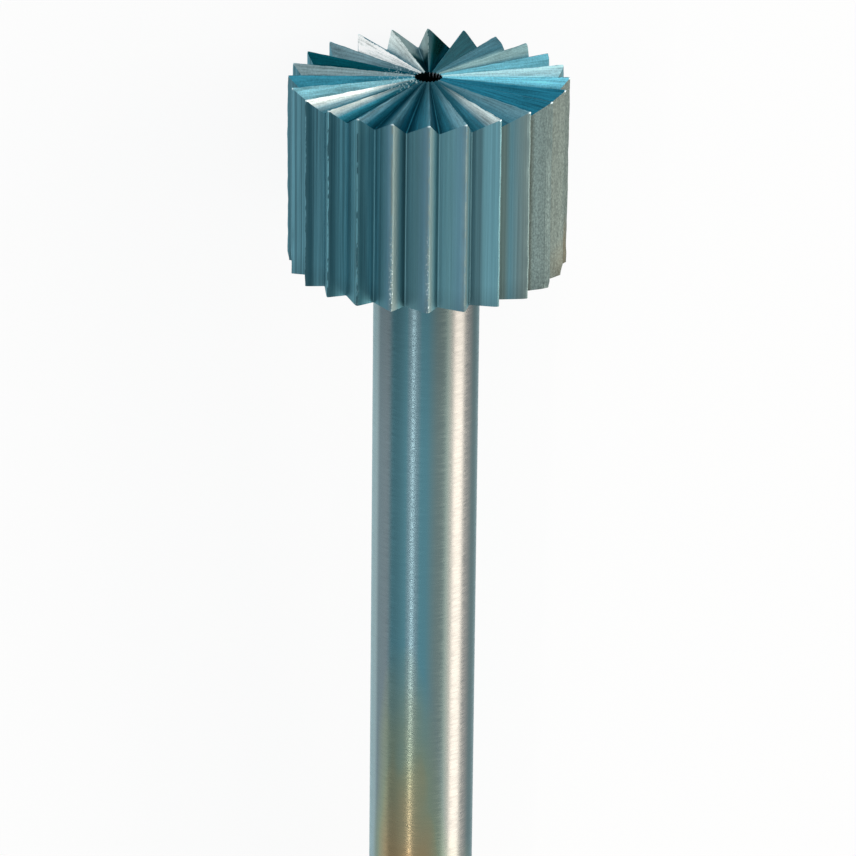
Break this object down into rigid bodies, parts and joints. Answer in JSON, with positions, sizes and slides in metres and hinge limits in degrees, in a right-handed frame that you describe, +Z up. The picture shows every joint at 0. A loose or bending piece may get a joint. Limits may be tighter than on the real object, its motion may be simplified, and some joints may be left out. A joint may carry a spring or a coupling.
{
  "type": "cylinder burr",
  "caption": "Cylinder burr with straight side teeth, radial end teeth and a plain round shank, turned and milled from one bar of heat-blued tool steel.",
  "frame": {"origin": "on the surface that the burr lies on, under the middle of its box", "axes": "+X towards the cutting end, with the burr's own axis 2.7 degrees nose-up from it in the XZ plane; +Z up"},
  "size_m": [0.0446, 0.0062, 0.0063],
  "materials": {
    "blued_tool_steel": "milled and ground tool steel with a blue temper oxide that fades to straw and bare steel towards the tail"
  },
  "bodies": {
    "root": {"burr": "blued_tool_steel"}
  },
  "joints": []
}
